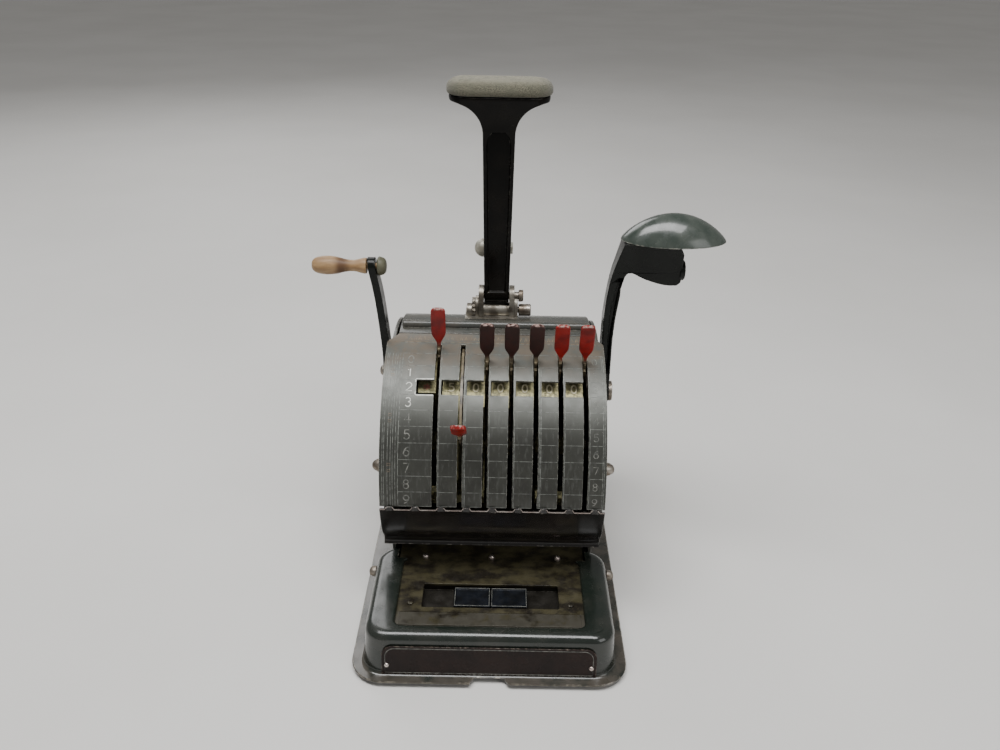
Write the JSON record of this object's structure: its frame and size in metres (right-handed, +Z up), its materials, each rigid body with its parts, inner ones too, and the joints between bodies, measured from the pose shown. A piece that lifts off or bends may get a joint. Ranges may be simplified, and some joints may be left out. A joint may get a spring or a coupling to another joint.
{
  "type": "check writer",
  "caption": "Desk check writer with a drum face of slotted selector levers, a paper throat, a side palm lever, a side crank with a wooden grip and a padded T-handle.",
  "frame": {"origin": "centre of the underside of the felt base pad, on the desk's surface", "axes": "+Z up; the drum face and the paper throat face -Y, towards the operator; +X is the operator's right, where the palm lever is"},
  "size_m": [0.2597, 0.23, 0.3161],
  "materials": {
    "dark_enamel": "worn dark grey-green semi-gloss enamel",
    "gloss_black_enamel": "gloss black enamel",
    "felt": "pressed felt",
    "tarnished_plate": "tarnished olive-brown plate",
    "steel": "dull worn steel",
    "cast_aluminium": "rough dull casting",
    "red_lever_paint": "worn bright red lacquer",
    "maroon_lever_paint": "dark brown-red lacquer",
    "aged_brass": "aged brass, dull",
    "wood": "worn turned wood with a brown stain",
    "olive_cap": "dull olive-brown metal cap",
    "rubber": "aged, rough grey-green rubber"
  },
  "bodies": {
    "housing": {"base_pan": "dark_enamel", "base_felt_pad": "felt", "deck_plate": "tarnished_plate", "die_tray": "tarnished_plate", "die_block_left": "steel", "die_block_right": "steel", "name_plate": "dark_enamel", "name_plate_rivet_left": "steel", "name_plate_rivet_right": "steel", "deck_screw_left": "steel", "deck_screw_right": "steel", "paper_guide_pin_1": "steel", "paper_guide_pin_2": "steel", "paper_guide_pin_3": "steel", "pan_screw_left": "steel", "pan_screw_right": "steel", "cheek_left": "dark_enamel", "cheek_right": "dark_enamel", "face_screw_left": "steel", "face_screw_right": "steel", "cheek_screw_left": "steel", "cheek_screw_right": "steel", "face_plate": "dark_enamel", "top_cover": "dark_enamel", "rear_cover": "dark_enamel", "apron": "gloss_black_enamel", "main_shaft": "steel", "handle_bracket": "cast_aluminium", "handle_pin": "steel", "barrel_pin": "steel"},
    "selector_1": {"selector_lever_1": "red_lever_paint", "digit_sector_1": "aged_brass"},
    "selector_2": {"selector_lever_2": "red_lever_paint", "digit_sector_2": "aged_brass"},
    "selector_3": {"selector_lever_3": "maroon_lever_paint", "digit_sector_3": "aged_brass"},
    "selector_4": {"selector_lever_4": "maroon_lever_paint", "digit_sector_4": "aged_brass"},
    "selector_5": {"selector_lever_5": "maroon_lever_paint", "digit_sector_5": "aged_brass"},
    "selector_6": {"selector_lever_6": "red_lever_paint", "digit_sector_6": "aged_brass"},
    "selector_7": {"selector_lever_7": "red_lever_paint", "digit_sector_7": "aged_brass"},
    "t_handle": {"handle_arm": "gloss_black_enamel", "handle_pad": "rubber", "ball_knob": "steel"},
    "crank": {"crank_arm": "gloss_black_enamel", "crank_shaft": "steel"},
    "crank_grip": {"crank_grip": "wood", "crank_end_cap": "olive_cap"},
    "feed_link": {"feed_link": "steel"},
    "feed_roller": {"feed_roller": "rubber"},
    "palm_lever": {"palm_arm": "gloss_black_enamel", "palm_dome": "dark_enamel", "palm_shaft": "steel"},
    "press_link": {"press_link": "steel"},
    "platen": {"platen": "steel"},
    "ink_arm": {"ink_arm": "steel"},
    "ink_roller": {"ink_roller": "rubber"}
  },
  "joints": [
    {"name": "selector_1_set", "type": "hinge", "parent": "housing", "child": "selector_1", "pos_m": [-0.0356, 0.042, 0.072], "axis": [1, 0, 0], "range_deg": [0, 64.29]},
    {"name": "selector_2_set", "type": "hinge", "parent": "housing", "child": "selector_2", "pos_m": [-0.0203, 0.042, 0.072], "axis": [1, 0, 0], "range_deg": [-38.57, 25.71]},
    {"name": "selector_3_set", "type": "hinge", "parent": "housing", "child": "selector_3", "pos_m": [-0.005, 0.042, 0.072], "axis": [1, 0, 0], "range_deg": [-6.43, 57.86]},
    {"name": "selector_4_set", "type": "hinge", "parent": "housing", "child": "selector_4", "pos_m": [0.0103, 0.042, 0.072], "axis": [1, 0, 0], "range_deg": [-6.43, 57.86]},
    {"name": "selector_5_set", "type": "hinge", "parent": "housing", "child": "selector_5", "pos_m": [0.0256, 0.042, 0.072], "axis": [1, 0, 0], "range_deg": [-6.43, 57.86]},
    {"name": "selector_6_set", "type": "hinge", "parent": "housing", "child": "selector_6", "pos_m": [0.0409, 0.042, 0.072], "axis": [1, 0, 0], "range_deg": [-6.43, 57.86]},
    {"name": "selector_7_set", "type": "hinge", "parent": "housing", "child": "selector_7", "pos_m": [0.0562, 0.042, 0.072], "axis": [1, 0, 0], "range_deg": [-6.43, 57.86]},
    {"name": "t_handle_pull", "type": "hinge", "parent": "housing", "child": "t_handle", "pos_m": [0, 0.065, 0.1745], "axis": [1, 0, 0], "range_deg": [0, 55], "stiffness_Nm_per_rad": 0.5, "springref_deg": -34.38},
    {"name": "crank_turn", "type": "hinge", "parent": "housing", "child": "crank", "pos_m": [-0.074, 0.038, 0.13], "axis": [1, 0, 0], "range_deg": [0, 70], "stiffness_Nm_per_rad": 0.2, "springref_deg": -45.84},
    {"name": "crank_grip_spin", "type": "hinge", "parent": "crank", "child": "crank_grip", "pos_m": [-0.095, 0.038, 0.204], "axis": [1, 0, 0], "continuous": true},
    {"name": "feed_link_swing", "type": "hinge", "parent": "crank", "child": "feed_link", "pos_m": [-0.0625, 0.024, 0.13], "axis": [1, 0, 0], "range_deg": [-71, 1]},
    {"name": "feed_roller_turn", "type": "hinge", "parent": "housing", "child": "feed_roller", "pos_m": [0, 0.002, 0.0204], "axis": [1, 0, 0], "range_deg": [-90, 5]},
    {"name": "palm_lever_pull", "type": "hinge", "parent": "housing", "child": "palm_lever", "pos_m": [0.072, 0.039, 0.117], "axis": [1, 0, 0], "range_deg": [0, 40], "stiffness_Nm_per_rad": 1, "springref_deg": -34.38},
    {"name": "press_link_swing", "type": "hinge", "parent": "palm_lever", "child": "press_link", "pos_m": [0.0594, 0.055, 0.117], "axis": [1, 0, 0], "range_deg": [-41, 1]},
    {"name": "platen_rise", "type": "slide", "parent": "housing", "child": "platen", "axis": [0, 0, 1], "range_m": [0, 0.0016]},
    {"name": "ink_arm_swing", "type": "hinge", "parent": "housing", "child": "ink_arm", "pos_m": [-0.0547, 0.042, 0.072], "axis": [1, 0, 0], "range_deg": [0, 30]},
    {"name": "ink_roller_spin", "type": "hinge", "parent": "ink_arm", "child": "ink_roller", "pos_m": [0.0015, 0.07743, 0.03531], "axis": [1, 0, 0], "continuous": true}
  ],
  "couplings": [
    {"joint": "feed_link_swing", "follows": "crank_turn", "ratio": -1},
    {"joint": "feed_roller_turn", "follows": "crank_turn", "ratio": -1.2},
    {"joint": "press_link_swing", "follows": "palm_lever_pull", "ratio": -1},
    {"joint": "platen_rise", "follows": "palm_lever_pull", "m_per_rad": 0.00215},
    {"joint": "ink_arm_swing", "follows": "palm_lever_pull", "ratio": 0.7}
  ]
}
